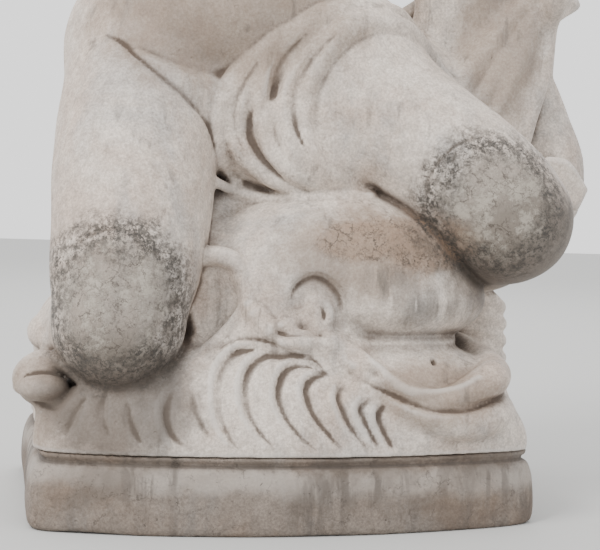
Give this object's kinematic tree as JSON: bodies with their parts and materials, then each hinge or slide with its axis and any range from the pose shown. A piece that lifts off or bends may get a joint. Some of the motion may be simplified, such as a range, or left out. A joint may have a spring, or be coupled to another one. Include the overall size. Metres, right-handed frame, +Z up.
{
  "type": "marble statue on a plinth",
  "caption": "Life-size weathered marble boy with a draped cloth, riding a stylised dolphin, carved in one block on a low moulded plinth.",
  "frame": {"origin": "centre of the plinth's flat underside, on the surface that the statue stands on", "axes": "+Z up, -Y out of the front towards the viewer, +X to the viewer's right"},
  "size_m": [0.6057, 0.3561, 0.9562],
  "materials": {
    "carved_marble": "weathered honed marble",
    "plinth_marble": "soiled honed marble"
  },
  "bodies": {
    "root": {"boy_on_dolphin": "carved_marble", "plinth": "plinth_marble"}
  },
  "joints": []
}
